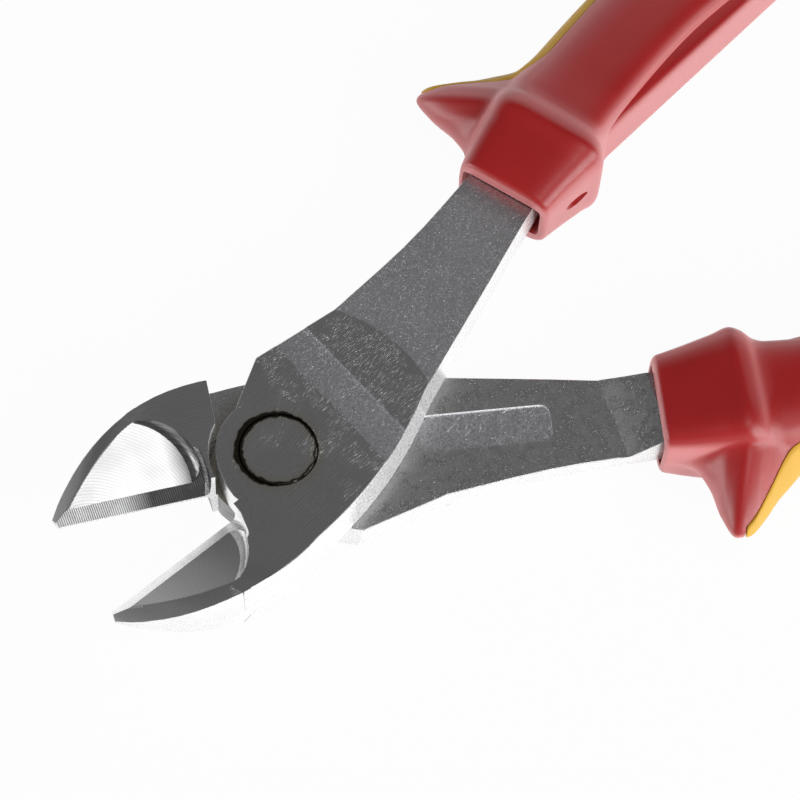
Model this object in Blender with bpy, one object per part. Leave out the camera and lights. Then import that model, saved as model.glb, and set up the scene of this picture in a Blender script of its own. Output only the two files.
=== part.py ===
"""A high-leverage diagonal cutter with insulated grips, 250 mm long, lying open.

Two forged steel halves cross in a lap joint and turn on one flush rivet. Each half is drawn lying
closed in its own frame: x runs from the pivot axis to the blade tip, y points to the half's own jaw,
z = 0 is the plane where the halves meet, and the half's outer face is up. The back half is the same
forging turned over about x, with its cutting edge on the other side of the skewed cut line.
All lengths are in metres.
"""

import math
from typing import NamedTuple

import bmesh
import bpy
import numpy as np
from mathutils import Matrix, Vector

OVERALL_LENGTH = 0.250

# Joint
JOINT_THICKNESS = 0.0144
LAP_GAP = 0.0003
BOSS_RADIUS = 0.0116
SHOULDER_RADIUS = 0.0129
THROAT_GAP = 0.0004
THROAT_SWEEP = math.radians(30.0)
SHOULDER_REACH = 0.0084
SHOULDER_ANGLE = math.radians(43.0)
REST_OPENING = math.radians(26.6)
OPEN_STOP = math.radians(55.0)
STOP_CLEARANCE = math.radians(2.0)

# Rivet, flush with both outer faces
RIVET_RADIUS = 0.0055
RIVET_HEAD_RADIUS = 0.0071
RIVET_HEAD_DEPTH = 0.0026
RIVET_CLEARANCE = 0.0003

# Jaws, ground and milled
TIP_REACH = 0.0421
TIP_WIDTH = 0.0014
HEAD_HALF_WIDTH = 0.0177
HEAD_REACH = 0.0070
JAW_BULGE = 0.0057
CROWN_START = 0.0223
CROWN_RADIUS = 0.029
CROWN_ANGLE = math.radians(20.0)
CUT_SKEW = math.radians(3.95)
EDGE_GAP = 0.00015
EDGE_LAND = 0.0003
BEVEL_WIDTH = 0.00235
BEVEL_HEIGHT = 0.0025
HOLLOW_END_REACH = 0.0193
HOLLOW_END_OFFSET = 0.0145
MILL_REACH = 0.0297
MILL_OFFSET = 0.00225
MILL_RADIUS = 0.0155
MILL_CORNER = 0.0022
BEVEL_MILL_RADIUS = 0.0165
BEVEL_MILL_CORNER = 0.0008

# Handles, forged
NECK_BULGE = 0.0020
FORGING_DRAFT = 0.001
LAND_RADIUS = 0.0313
LAND_SWEEP = math.radians(55.0)
LAND_STEP = 0.00035
HANDLE_THICKNESS = 0.0084
JOGGLE_REACH = 0.063
JOGGLE_LENGTH = 0.008
BAND_REACH = 0.0170
BAND_WIDTH = 0.0070
BAND_DEPTH = 0.0004
PANEL_REACH = 0.0394
PANEL_OFFSET = -0.0039
PANEL_ANGLE = math.radians(11.5)
PANEL_LENGTH = 0.0250
PANEL_WIDTH = 0.0077
PANEL_CORNER = 0.0018
PANEL_DEPTH = 0.0004

# Grips
MOUTH_REACH = 0.0708
GRIP_LENGTH = OVERALL_LENGTH - TIP_REACH - MOUTH_REACH
TANG_SET_BACK = 0.0091
TANG_LENGTH = GRIP_LENGTH - TANG_SET_BACK
HEEL_SET_BACK = 0.0226
TAIL_SET_BACK = 0.0086
GRIP_GAP = 0.0003
CORE_WALL = 0.0012
CORE_SET_IN = 0.012
CORE_END_WALL = 0.002
TANG_END_ROOM = 0.001
INNER_SQUARENESS = 5.0
GUARD_SHARPNESS = 1.6
REST_HALF_HEIGHT = 0.0113
PAD_START = 0.0123
PAD_SET_BACK = 0.0216
PAD_LENGTH = GRIP_LENGTH - PAD_START - PAD_SET_BACK
PAD_TONGUE = 0.018
PAD_RISE = 0.77
PAD_END_RISE = 0.13
PAD_END_SHARPNESS = 6
PAD_DEPTH = 0.0014
PAD_PROUD = 0.0004
DIMPLE_REACH = 0.0085
DIMPLE_LENGTH = 0.0052
DIMPLE_WIDTH = 0.0016
DIMPLE_DEPTH = 0.0012
DIMPLE_CORNER = 0.00075

# Facets
ARC_STEPS = 14
HANDLE_STEPS = 26
ROUND_STEPS = 64
SECTION_STEPS = 32
PAD_STEPS = 28
CORNER_STEPS = 4
RING_SPACING = 0.009
GUARD_STEPS = 3
SLOPE_STEP = 0.0006
CUT_MARGIN = 0.0004
SHARP_ANGLE = math.radians(32.0)


class Spine(NamedTuple):
    """One place along a handle: its distance behind the pivot, its middle and its width in plan."""

    reach: float
    middle: float
    width: float


class Section(NamedTuple):
    """One place along a grip: how far it stands out from the handle's middle line there.

    guard is the reach of the ridge on the outer side, and squareness shapes the outer side's edges.
    """

    behind_mouth: float
    inner: float
    outer: float
    half_height: float
    guard: float
    squareness: float


SPINE = (
    Spine(0.028, -0.0019, 0.0240),
    Spine(0.050, -0.0061, 0.01775),
    Spine(MOUTH_REACH, -0.0111, 0.0137),
    Spine(0.095, -0.0160, 0.0104),
    Spine(0.130, -0.0200, 0.0092),
    Spine(0.165, -0.0195, 0.0088),
    Spine(MOUTH_REACH + TANG_LENGTH, -0.0160, 0.0080),
)

MOUTH = Section(0.0, 0.0102, 0.0096, 0.0074, 0.0096, 5.0)
LIP = Section(0.0045, 0.0112, 0.0104, 0.0086, 0.0108, 5.0)
FLARE = Section(0.0075, 0.0121, 0.0108, 0.0098, 0.0142, 5.0)
RIDGE = Section(0.0112, 0.0131, 0.0114, 0.0115, 0.0265, 4.8)
CREST = Section(0.0136, 0.0137, 0.0118, 0.0122, 0.0255, 4.5)
GUARD_BACK = Section(0.0160, 0.0128, 0.0124, 0.0117, 0.0230, 3.6)
GUARD_ROOT = Section(0.0190, 0.0107, 0.0126, 0.0100, 0.0192, 2.8)
NECK = Section(0.0300, 0.0101, 0.0117, 0.0094, 0.0117, 2.8)
PALM = Section(0.0740, 0.0104, 0.0112, 0.0093, 0.0112, 2.8)
HEEL = Section(GRIP_LENGTH - HEEL_SET_BACK, 0.0112, 0.0122, 0.0118, 0.0122, 2.8)
TAIL = Section(GRIP_LENGTH - TAIL_SET_BACK, 0.0106, 0.0112, 0.0117, 0.0112, 2.8)
END = Section(GRIP_LENGTH, 0.0062, 0.0064, 0.0066, 0.0064, 2.8)
GRIP_FORM = (MOUTH, LIP, FLARE, RIDGE, CREST, GUARD_BACK, GUARD_ROOT, NECK, PALM, HEEL, TAIL, END)


# Curves and outlines

def smooth(knots, values, at):
    """The value at one place of a curve that passes through the knots without overshooting."""
    steps = np.diff(values) / np.diff(knots)
    turns = [2 * a * b / (a + b) if a * b > 0 else 0.0 for a, b in zip(steps, steps[1:])]
    slopes = [steps[0], *turns, steps[-1]]
    k = int(np.clip(np.searchsorted(knots, at) - 1, 0, len(steps) - 1))
    span = knots[k + 1] - knots[k]
    t = (at - knots[k]) / span
    start = (1 + 2 * t) * (1 - t) ** 2 * values[k] + t * (1 - t) ** 2 * span * slopes[k]
    end = t * t * (3 - 2 * t) * values[k + 1] + t * t * (t - 1) * span * slopes[k + 1]
    return start + end


def spine_at(reach):
    """Middle and width of the handle at a distance behind the pivot."""
    knots = [place.reach for place in SPINE]
    middle = smooth(knots, [place.middle for place in SPINE], reach)
    return middle, smooth(knots, [place.width for place in SPINE], reach)


def grip_at(behind_mouth):
    """The grip's section at a distance behind its mouth."""
    knots = [place.behind_mouth for place in GRIP_FORM]
    columns = zip(*GRIP_FORM)
    return Section(*(smooth(knots, list(column), behind_mouth) for column in columns))


def polar(radius, angle):
    return Vector((radius * math.cos(angle), radius * math.sin(angle)))


def arc(start, end, bulge, steps=ARC_STEPS):
    """Points of the arc from start to end that stands out to the right of the chord by bulge."""
    chord = end - start
    half = chord.length / 2
    radius = (half * half + bulge * bulge) / (2 * bulge)
    right = Vector((chord.y, -chord.x)).normalized()
    centre = (start + end) / 2 - right * (radius - bulge)
    sweep = math.asin(half / radius)
    turns = [Matrix.Rotation(sweep * (2 * k / steps - 1), 2) for k in range(steps + 1)]
    return [centre + turn @ (right * radius) for turn in turns]


def round_arc(radius, first, last, steps=ARC_STEPS):
    """Points of an arc about the pivot."""
    return [polar(radius, first + (last - first) * k / steps) for k in range(steps + 1)]


def rounded_rectangle(half_width, half_height, corner):
    """Points of an upright rectangle with round corners, about the origin."""
    points = []
    for quarter, (sx, sy) in enumerate(((1, 1), (-1, 1), (-1, -1), (1, -1))):
        middle = Vector((sx * (half_width - corner), sy * (half_height - corner)))
        for k in range(CORNER_STEPS + 1):
            points.append(middle + polar(corner, math.pi / 2 * (quarter + k / CORNER_STEPS)))
    return points


def spread(first, last, steps):
    return [first + (last - first) * k / steps for k in range(steps + 1)]


# Meshes, materials and cuts

def clear_scene():
    for obj in list(bpy.data.objects):
        bpy.data.objects.remove(obj, do_unlink=True)


def finish(name, colour, roughness, metallic):
    material = bpy.data.materials.new(name)
    material.use_nodes = True
    shader = material.node_tree.nodes["Principled BSDF"]
    shader.inputs["Base Color"].default_value = (*colour, 1.0)
    shader.inputs["Roughness"].default_value = roughness
    shader.inputs["Metallic"].default_value = metallic
    return material


def empty(name, parent=None, matrix=None):
    obj = bpy.data.objects.new(name, None)
    bpy.context.collection.objects.link(obj)
    obj.parent = parent
    if matrix is not None:
        obj.matrix_local = matrix
    return obj


def loft(name, rings, parent):
    """A closed object through rings of equal length, with flat ends."""
    bm = bmesh.new()
    loops = [[bm.verts.new(point) for point in ring] for ring in rings]
    for low, high in zip(loops, loops[1:]):
        for k, corner in enumerate(low):
            after = (k + 1) % len(low)
            bm.faces.new((corner, low[after], high[after]))
            bm.faces.new((corner, high[after], high[k]))
    bm.faces.new(loops[0])
    bm.faces.new(loops[-1])
    bmesh.ops.recalc_face_normals(bm, faces=bm.faces)
    mesh = bpy.data.meshes.new(name)
    bm.to_mesh(mesh)
    bm.free()
    obj = bpy.data.objects.new(name, mesh)
    bpy.context.collection.objects.link(obj)
    obj.parent = parent
    return obj


def prism(name, outline, low, high, parent):
    """An outline in plan made solid between two heights."""
    return loft(name, [[(p.x, p.y, height) for p in outline] for height in (low, high)], parent)


def cut(part, tool, operation="DIFFERENCE"):
    """A Boolean on the part by a tool that is kept as a hidden guide."""
    tool.hide_render = True
    tool.display_type = "WIRE"
    step = part.modifiers.new(tool.name, "BOOLEAN")
    step.operation = operation
    step.solver = "EXACT"
    step.object = tool


def dress(part, material):
    part.data.materials.append(material)
    part.data.shade_smooth()
    part.data.set_sharp_from_angle(angle=SHARP_ANGLE)


# One forged half, drawn in its own frame

class Half(NamedTuple):
    """What tells the two halves apart: the side of the cut line that its edge lies on."""

    name: str
    frame: bpy.types.Object
    skew: float


def cut_line_frame(half):
    """The frame of the cut line: x along it as from the pivot, y away from the other jaw."""
    tip = Vector((TIP_REACH, 0.0, 0.0))
    turn = Matrix.Rotation(-half.skew, 4, "Z")
    return Matrix.Translation(tip) @ turn @ Matrix.Translation(-tip)


def shoulder_line():
    """The straight shoulder behind a jaw, from the outside of the head inwards."""
    return Vector((SHOULDER_REACH, HEAD_HALF_WIDTH)), polar(SHOULDER_RADIUS, SHOULDER_ANGLE)


def stop_line():
    """The notch that meets the other half's shoulder when the cutter is fully open."""
    turn = Matrix.Rotation(-OPEN_STOP - STOP_CLEARANCE, 2)
    corner, inner = (turn @ Vector((p.x, -p.y)) for p in shoulder_line())
    along = (inner - corner).normalized()
    foot = corner - along * corner.dot(along)
    return corner, foot - along * math.sqrt(BOSS_RADIUS**2 - foot.length_squared)


def forged_edges():
    """The inner edge from the blade tip to the tang's end, and the outer edge back to the notch."""
    head = Vector((HEAD_REACH, HEAD_HALF_WIDTH))
    tip = Vector((TIP_REACH, TIP_WIDTH))
    places = spread(SPINE[0].reach, SPINE[-1].reach, HANDLE_STEPS)
    sides = [(reach, *spine_at(reach)) for reach in places]
    inner = [Vector((-reach, middle + width / 2)) for reach, middle, width in sides]
    outer = [Vector((-reach, middle - width / 2)) for reach, middle, width in reversed(sides)]
    jaw = arc(tip, head, JAW_BULGE)
    neck = arc(head, inner[0], NECK_BULGE)
    return jaw + neck[1:] + inner[1:], outer + [stop_line()[0]]


def machined_edge(half):
    """From the notch round the boss, out to the throat, and along the cut line to the blade tip."""
    start = stop_line()[1]
    offset = TIP_REACH * math.sin(half.skew) + EDGE_GAP
    throat_radius = SHOULDER_RADIUS - THROAT_GAP
    meet = math.pi / 2 - half.skew - math.acos(offset / throat_radius)
    widening = meet - THROAT_SWEEP
    boss = round_arc(BOSS_RADIUS, math.atan2(start.y, start.x), widening)
    for angle in spread(widening, meet, ARC_STEPS)[1:]:
        t = (angle - widening) / THROAT_SWEEP
        boss.append(polar(BOSS_RADIUS + (throat_radius - BOSS_RADIUS) * t * t * (3 - 2 * t), angle))
    tip = cut_line_frame(half) @ Vector((TIP_REACH, EDGE_GAP, 0.0))
    return boss + [tip.to_2d()]


def drafted(points):
    """Forged edges moved out to the parting plane by the draft."""
    ahead = points[1:] + points[-1:]
    behind = points[:1] + points[:-1]
    runs = [(b - a).normalized() for a, b in zip(behind, ahead)]
    return [p + Vector((run.y, -run.x)) * FORGING_DRAFT for p, run in zip(points, runs)]


def blank(half):
    """The forging in plan, widest at the parting plane and drawn in towards both faces."""
    inner, outer = forged_edges()
    machined = machined_edge(half)
    corner = outer[-1] + (outer[-1] - machined[0]).normalized() * FORGING_DRAFT
    face = inner + outer + machined
    parting = drafted(inner) + drafted(outer)[:-1] + [corner] + machined
    heights = ((-JOINT_THICKNESS / 2, face), (0.0, parting), (JOINT_THICKNESS / 2, face))
    rings = [[(p.x, p.y, height) for p in outline] for height, outline in heights]
    return loft(half.name, rings, half.frame)


def side_profile(half):
    """The forging seen from the side: a flat head, and a handle set over to the middle."""
    face = JOINT_THICKNESS / 2
    middle = HANDLE_THICKNESS / 2
    front = TIP_REACH + FORGING_DRAFT
    back = MOUTH_REACH + TANG_LENGTH + FORGING_DRAFT
    lap_end = SPINE[0].reach
    top = [(front, face), (-LAND_RADIUS, face), (-LAND_RADIUS, face - LAND_STEP)]
    top += [(-MOUTH_REACH, middle), (-back, middle)]
    under = [(front, -face), (-lap_end, -face), (-lap_end, LAP_GAP / 2), (-JOGGLE_REACH, LAP_GAP / 2)]
    under += [(-JOGGLE_REACH - JOGGLE_LENGTH, -middle), (-back, -middle)]
    outline = top + under[::-1]
    width = HEAD_HALF_WIDTH * 2
    rings = [[(x, y, z) for x, z in outline] for y in (-width, width)]
    return loft(half.name + "_side_profile", rings, half.frame)


def crown_cut(half, face_name, side):
    """Rounds one face of the jaw down towards the tip and the outside."""
    step = (TIP_REACH + FORGING_DRAFT - CROWN_START) / ARC_STEPS
    curve = []
    for k in range(ARC_STEPS + 1):
        drop = CROWN_RADIUS - math.sqrt(CROWN_RADIUS**2 - (k * step) ** 2)
        curve.append(Vector((CROWN_START + k * step, JOINT_THICKNESS / 2 - drop)))
    lead_in = 2 * curve[0] - curve[1]
    outline = [lead_in, *curve, Vector((curve[-1].x, JOINT_THICKNESS)), Vector((lead_in.x, JOINT_THICKNESS))]
    turn = Matrix.Rotation(CROWN_ANGLE, 4, "Z")
    far = TIP_REACH
    rings = [[turn @ Vector((p.x, y, p.y * side)) for p in outline] for y in (-far, far)]
    return loft(f"{half.name}_crown_{face_name}", rings, half.frame)


def lap_cut(half):
    """Takes away the half of the joint that the other plate fills, up to this jaw's shoulder."""
    outer, inner = shoulder_line()
    far = HEAD_HALF_WIDTH * 2
    behind = SPINE[0].reach + CUT_MARGIN
    sweep = round_arc(SHOULDER_RADIUS, SHOULDER_ANGLE, -math.pi / 2)
    outline = [outer + (outer - inner).normalized() * far, *sweep]
    outline += [Vector((0.0, -far)), Vector((-behind, -far)), Vector((-behind, far))]
    return prism(half.name + "_lap_cut", outline, -JOINT_THICKNESS, LAP_GAP / 2, half.frame)


def land_relief(half):
    """Leaves the joint's ground land standing above the forged handle, inside a round edge."""
    far = HEAD_HALF_WIDTH * 2
    outline = round_arc(LAND_RADIUS, math.pi - LAND_SWEEP, math.pi + LAND_SWEEP)
    outline += [Vector((outline[-1].x, -far)), Vector((-far * 2, -far))]
    outline += [Vector((-far * 2, far)), Vector((outline[0].x, far))]
    floor = JOINT_THICKNESS / 2 - LAND_STEP
    return prism(half.name + "_land_relief", outline, floor, JOINT_THICKNESS, half.frame)


def mill(half, name, radius, corner, tilt, side):
    """A round-cornered face mill's cut, tilted about the cut line at the bevel's upper edge."""
    frame = cut_line_frame(half)
    centre = frame.inverted() @ Vector((MILL_REACH, MILL_OFFSET, 0.0))
    centre.z = BEVEL_HEIGHT + (centre.y - BEVEL_WIDTH) * math.tan(tilt)
    frame = frame @ Matrix.Translation(centre) @ Matrix.Rotation(tilt, 4, "X")
    turns = spread(0.0, math.pi / 2, CORNER_STEPS)
    profile = [(radius - corner * (1 - math.sin(t)), corner * (1 - math.cos(t))) for t in turns]
    rings = []
    for reach, height in profile + [(radius, radius)]:
        circle = [polar(reach, 2 * math.pi * k / ROUND_STEPS) for k in range(ROUND_STEPS)]
        rings.append([frame @ Vector((p.x, p.y, height)) for p in circle])
    if side < 0:
        rings = [[(p.x, p.y, -p.z) for p in ring] for ring in rings]
    return loft(f"{half.name}_{name}", rings, half.frame)


def mill_jaw(half, part):
    """The crown, the hollow and the bevel along the cutting edge, on both faces of the jaw."""
    hollow_end = cut_line_frame(half).inverted() @ Vector((HOLLOW_END_REACH, HOLLOW_END_OFFSET, 0.0))
    rise = JOINT_THICKNESS / 2 - BEVEL_HEIGHT
    hollow_tilt = math.atan2(rise, hollow_end.y - BEVEL_WIDTH)
    bevel_tilt = math.atan2(BEVEL_HEIGHT - EDGE_LAND / 2, BEVEL_WIDTH)
    for face, side in (("top", 1), ("bottom", -1)):
        cut(part, crown_cut(half, face, side))
        cut(part, mill(half, f"hollow_{face}", MILL_RADIUS, MILL_CORNER, hollow_tilt, side))
        cut(part, mill(half, f"bevel_{face}", BEVEL_MILL_RADIUS, BEVEL_MILL_CORNER, bevel_tilt, side))


def turned(name, profile, parent):
    """A solid turned about the pivot axis from (radius, height) pairs, bottom to top."""
    rings = []
    for radius, height in profile:
        circle = [polar(radius, 2 * math.pi * k / ROUND_STEPS) for k in range(ROUND_STEPS)]
        rings.append([(p.x, p.y, height) for p in circle])
    return loft(name, rings, parent)


def rivet_profile(grow, over):
    """Shaft and countersunk heads, bottom to top; grow widens it and over lengthens it past the faces."""
    face = JOINT_THICKNESS / 2
    shaft = RIVET_RADIUS + grow
    head = RIVET_HEAD_RADIUS + grow
    neck = face - RIVET_HEAD_DEPTH
    flare = neck + RIVET_HEAD_RADIUS - RIVET_RADIUS
    upper = [(shaft, neck), (head, flare), (head, face + over)]
    return [(radius, -height) for radius, height in reversed(upper)] + upper


def band_cut(half):
    """A shallow forged band across the outer face, square to the cut line."""
    far = HEAD_HALF_WIDTH * 2
    ends = (-BAND_REACH - BAND_WIDTH / 2, -BAND_REACH + BAND_WIDTH / 2)
    corners = ((ends[0], -far), (ends[1], -far), (ends[1], far), (ends[0], far))
    frame = Matrix.Rotation(-half.skew, 2)
    outline = [frame @ Vector(corner) for corner in corners]
    floor = JOINT_THICKNESS / 2 - BAND_DEPTH
    return prism(half.name + "_band_cut", outline, floor, JOINT_THICKNESS, half.frame)


def panel_cut(half):
    """A shallow rounded panel in the handle's flat lap face."""
    frame = Matrix.Rotation(PANEL_ANGLE, 2)
    middle = Vector((-PANEL_REACH, PANEL_OFFSET))
    panel = rounded_rectangle(PANEL_LENGTH / 2, PANEL_WIDTH / 2, PANEL_CORNER)
    outline = [middle + frame @ p for p in panel]
    floor = LAP_GAP / 2 + PANEL_DEPTH
    return prism(half.name + "_panel_cut", outline, -CUT_MARGIN, floor, half.frame)


def forged_half(half, steel):
    part = blank(half)
    cut(part, side_profile(half), "INTERSECT")
    cut(part, lap_cut(half))
    cut(part, land_relief(half))
    mill_jaw(half, part)
    hole = rivet_profile(RIVET_CLEARANCE, JOINT_THICKNESS)
    cut(part, turned(half.name + "_rivet_hole", hole, half.frame))
    dress(part, steel)
    return part


# One grip, along its half's handle

def place_on_spine(reach, across, height):
    """A point of a section square to the handle's middle line; across is positive on the inner side."""
    middle = spine_at(reach)[0]
    lean = (spine_at(reach + SLOPE_STEP)[0] - spine_at(reach - SLOPE_STEP)[0]) / (2 * SLOPE_STEP)
    inwards = Vector((lean, 1.0)).normalized()
    return Vector((-reach + inwards.x * across, middle + inwards.y * across, height))


def outer_side(rise, section, grow=0.0):
    """A point of a grip's outer side, grown by a margin, at a share of the section's half height."""
    share = min(1.0, abs(rise))
    body = (section.outer + grow) * (1 - share**section.squareness) ** (1 / section.squareness)
    across = max(body, (section.guard + grow) * (1 - share**GUARD_SHARPNESS))
    height = min(REST_HALF_HEIGHT, share * (section.half_height + grow))
    return -across, math.copysign(height, rise)


def oval(angle, section):
    """A point of a grip's squared oval: angle 0 is the middle of the inner side."""
    c, s = math.cos(angle), math.sin(angle)
    power = 2 / (INNER_SQUARENESS if c > 0 else section.squareness)
    rise = math.copysign(abs(s) ** power, s)
    if c < 0:
        return outer_side(rise, section)
    height = min(REST_HALF_HEIGHT, abs(rise) * section.half_height)
    return c**power * section.inner, math.copysign(height, s)


def grip_places():
    """Distances behind the mouth where the grip's sections stand, closer where its form turns."""
    places = []
    for here, after in zip(GRIP_FORM, GRIP_FORM[1:]):
        steps = max(GUARD_STEPS, round((after.behind_mouth - here.behind_mouth) / RING_SPACING))
        places += spread(here.behind_mouth, after.behind_mouth, steps)[:-1]
    return places + [END.behind_mouth]


def sleeve_form(half):
    rings = []
    for place in grip_places():
        section = grip_at(place)
        angles = [2 * math.pi * k / SECTION_STEPS for k in range(SECTION_STEPS)]
        ovals = [oval(angle, section) for angle in angles]
        rings.append([place_on_spine(MOUTH_REACH + place, across, height) for across, height in ovals])
    return loft(half.name.replace("half", "grip_sleeve"), rings, half.frame)


def tang_ring(reach, grow):
    """A ring round the tang, standing off it by grow, six-sided as the forging's draft makes it."""
    half_width = spine_at(min(reach, SPINE[-1].reach))[1] / 2 + grow
    half_height = HANDLE_THICKNESS / 2 + grow
    middle = half_width + FORGING_DRAFT
    face = middle - FORGING_DRAFT * HANDLE_THICKNESS / JOINT_THICKNESS
    inner_side = [(face, -half_height), (middle, 0.0), (face, half_height)]
    outer_side = [(-across, -height) for across, height in inner_side]
    return [place_on_spine(reach, across, height) for across, height in inner_side + outer_side]


def tang_tube(name, first, last, grow, parent):
    """A solid along the tang between two distances behind the mouth, standing off it by grow."""
    places = spread(MOUTH_REACH + first, MOUTH_REACH + last, HANDLE_STEPS)
    return loft(name, [tang_ring(reach, grow) for reach in places], parent)


def grip_core(half, plastic):
    """The hard insulating tube that the handle's tang is pressed into."""
    name = half.name.replace("half", "grip_core")
    inside = TANG_LENGTH + TANG_END_ROOM
    core = tang_tube(name, CORE_SET_IN, inside + CORE_END_WALL, GRIP_GAP + CORE_WALL, half.frame)
    cut(core, tang_tube(name + "_bore", 0.0, inside, GRIP_GAP, half.frame))
    dress(core, plastic)


def pad_form(name, half, grow, proud):
    """The soft pad from the back of the guard along the outer side; grow widens it into its recess."""
    rings = []
    for k in range(PAD_STEPS + 1):
        t = -math.cos(math.pi * k / PAD_STEPS)
        behind = PAD_LENGTH * (t + 1) / 2
        place = PAD_START + behind + grow * t
        section = grip_at(place)
        tongue = math.sin(math.pi / 2 * min(1.0, behind / PAD_TONGUE))
        heel = math.sqrt(1 - max(0.0, t) ** PAD_END_SHARPNESS)
        border = PAD_END_RISE + (PAD_RISE - PAD_END_RISE) * tongue * heel + grow / section.half_height
        outside = []
        inside = []
        for rise in spread(-border, border, CORNER_STEPS * 2):
            outside.append(outer_side(rise, section, proud))
            inside.append(outer_side(rise, section, -PAD_DEPTH - 2 * grow))
        ring = outside + inside[::-1]
        rings.append([place_on_spine(MOUTH_REACH + place, across, height) for across, height in ring])
    return loft(name, rings, half.frame)


def dimple_cut(half):
    """A short slot pressed into the inner side of the flare."""
    section = grip_at(DIMPLE_REACH)
    slot = rounded_rectangle(DIMPLE_LENGTH / 2, DIMPLE_WIDTH / 2, DIMPLE_CORNER)
    levels = (section.inner - DIMPLE_DEPTH, section.inner + DIMPLE_LENGTH)
    reach = MOUTH_REACH + DIMPLE_REACH
    rings = [[place_on_spine(reach + p.x, level, p.y) for p in slot] for level in levels]
    return loft(half.name + "_dimple_cut", rings, half.frame)


def grip(half, red, yellow, core_plastic):
    sleeve = sleeve_form(half)
    inside = TANG_LENGTH + TANG_END_ROOM + CORE_END_WALL + GRIP_GAP
    cut(sleeve, tang_tube(half.name + "_mouth_bore", -CORE_SET_IN / 2, CORE_SET_IN, GRIP_GAP, half.frame))
    core_room = 2 * GRIP_GAP + CORE_WALL
    cut(sleeve, tang_tube(half.name + "_core_bore", CORE_SET_IN - GRIP_GAP, inside, core_room, half.frame))
    cut(sleeve, pad_form(half.name + "_pad_recess", half, GRIP_GAP, PAD_DEPTH))
    cut(sleeve, dimple_cut(half))
    dress(sleeve, red)
    dress(pad_form(half.name.replace("half", "grip_pad"), half, 0.0, PAD_PROUD), yellow)
    grip_core(half, core_plastic)


def build():
    clear_scene()
    steel = finish("forged_steel", (0.42, 0.42, 0.43), 0.35, 1.0)
    rivet_steel = finish("rivet_steel", (0.36, 0.36, 0.37), 0.4, 1.0)
    red = finish("red_plastic", (0.38, 0.012, 0.014), 0.45, 0.0)
    yellow = finish("yellow_soft_plastic", (0.75, 0.42, 0.03), 0.6, 0.0)
    core_plastic = finish("core_plastic", (0.55, 0.5, 0.42), 0.5, 0.0)

    origin = empty("tool_origin", matrix=Matrix.Translation((0.0, 0.0, -JOINT_THICKNESS / 2)))
    opened = Matrix.Rotation(REST_OPENING / 2, 4, "Z")
    turned_over = Matrix.Rotation(math.pi, 4, "X")
    front_frame = empty("front_pivot", origin, opened)
    back_frame = empty("back_pivot", origin, opened.inverted() @ turned_over)
    front = Half("front_half", front_frame, CUT_SKEW)
    back = Half("back_half", back_frame, -CUT_SKEW)

    cut(forged_half(front, steel), band_cut(front))
    cut(forged_half(back, steel), panel_cut(back))
    dress(turned("pivot_rivet", rivet_profile(0.0, 0.0), back_frame), rivet_steel)
    for half in (front, back):
        grip(half, red, yellow, core_plastic)


build()
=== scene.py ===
"""A large diagonal cutter with insulated grips, lying open on a pale studio floor.

The sections follow the tool as it is put together: the two forged halves, the rivet that joins
them, the red grips with their soft pads and cores, then the studio. All lengths are in metres.
"""

import math

import bmesh
import bpy
import numpy as np
from mathutils import Matrix, Vector


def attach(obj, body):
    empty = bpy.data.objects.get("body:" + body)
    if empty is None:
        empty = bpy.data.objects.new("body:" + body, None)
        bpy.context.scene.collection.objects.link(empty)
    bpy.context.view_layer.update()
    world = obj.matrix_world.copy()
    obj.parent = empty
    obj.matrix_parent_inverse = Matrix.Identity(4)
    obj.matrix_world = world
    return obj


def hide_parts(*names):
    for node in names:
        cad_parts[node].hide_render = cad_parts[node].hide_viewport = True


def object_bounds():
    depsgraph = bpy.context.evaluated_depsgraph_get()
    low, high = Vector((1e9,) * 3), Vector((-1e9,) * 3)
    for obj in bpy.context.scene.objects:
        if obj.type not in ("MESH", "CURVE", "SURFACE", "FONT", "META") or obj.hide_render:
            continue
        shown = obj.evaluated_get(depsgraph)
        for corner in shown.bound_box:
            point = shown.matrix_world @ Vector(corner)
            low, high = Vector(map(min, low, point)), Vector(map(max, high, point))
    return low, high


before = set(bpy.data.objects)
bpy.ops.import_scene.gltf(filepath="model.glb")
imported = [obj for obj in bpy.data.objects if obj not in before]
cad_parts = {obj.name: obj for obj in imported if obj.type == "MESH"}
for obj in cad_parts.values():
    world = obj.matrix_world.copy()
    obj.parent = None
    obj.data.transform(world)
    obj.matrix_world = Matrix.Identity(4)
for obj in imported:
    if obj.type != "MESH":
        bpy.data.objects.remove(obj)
cad_box = [list(corner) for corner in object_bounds()]


# Steel halves. Two drop forgings in chrome vanadium steel that cross in a lap joint. The joint's
# faces are ground flat, the jaws are milled hollow and bevelled to the cutting edge, and the
# handles keep the forging's grain. Each is drawn from the frame's solid, with tumbled edges.

OPENING = math.radians(26.6)
FACE = 0.0072
GROUND_DEPTH = 0.0003
CUT_SKEW = math.radians(3.95)
CUT_WIDTH = 0.0012
CUT_START = 0.012
TIP_REACH = 0.0421
TIP_LENGTH = 0.003
JAW_START = 0.006
BACK_HOLLOW_TILT = math.radians(18.95)
FRONT_HOLLOW_TILT = math.radians(24.0)
MILL_CENTRE = Vector((0.0297, 0.00225))
MILL_RADIUS = 0.0155
MILL_WALL = 0.004
FEED_CENTRE = Vector((0.0382, -0.0080, 0.0))
PANEL_FLOOR = 0.0004
FINE_STEP = 0.0012
JOGGLE_DEPTH = 0.0040
RIVET_HEAD = 0.0071
SEAM_MARGIN = 0.0006
UNBROKEN_MARGIN = 0.0002
EDGE_BREAK = 0.00022
BREAK_STEPS = 2

joint_middle = Matrix.Translation((0.0, 0.0, -FACE))
front_turn = OPENING / 2
back_turn = -OPENING / 2
front_frame = joint_middle @ Matrix.Rotation(front_turn, 4, "Z")
back_frame = joint_middle @ Matrix.Rotation(back_turn, 4, "Z") @ Matrix.Rotation(math.pi, 4, "X")


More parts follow.
